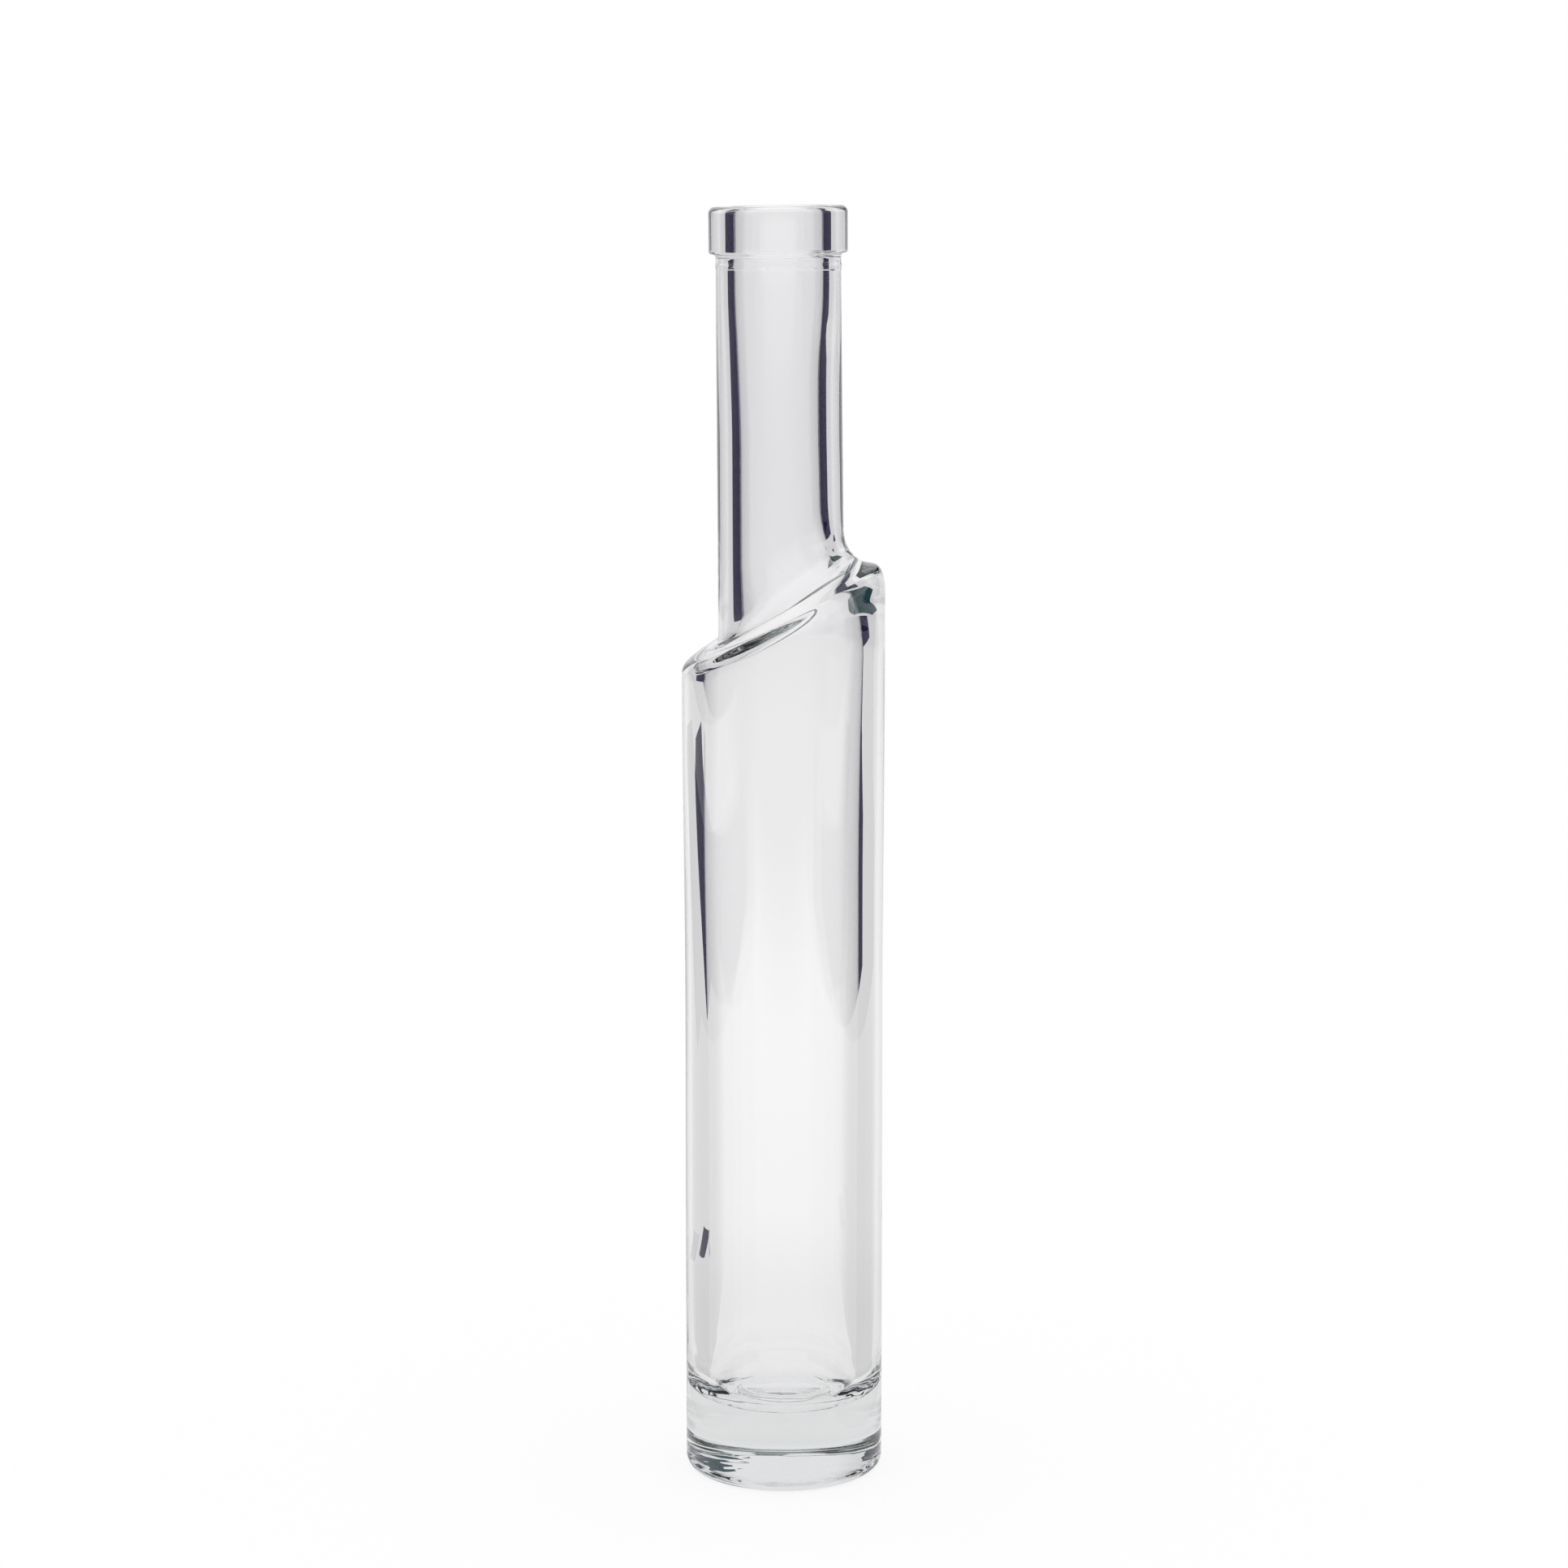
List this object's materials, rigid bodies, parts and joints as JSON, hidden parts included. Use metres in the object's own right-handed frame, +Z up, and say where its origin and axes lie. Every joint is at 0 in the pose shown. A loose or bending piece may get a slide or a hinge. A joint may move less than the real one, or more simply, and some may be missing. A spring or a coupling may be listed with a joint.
{
  "type": "slant shoulder bottle",
  "caption": "Slender round clear glass bottle with a slanting shoulder, a straight neck and a collared mouth for a bar-top cork.",
  "frame": {"origin": "centre of the foot, on the plane that the bottle stands on", "axes": "+Z up along the body's axis; +X towards the high side of the shoulder, -X towards its low side"},
  "size_m": [0.0424, 0.0424, 0.268],
  "materials": {
    "flint_glass": "fire-polished clear glass"
  },
  "bodies": {
    "root": {"glass_bottle": "flint_glass"}
  },
  "joints": []
}
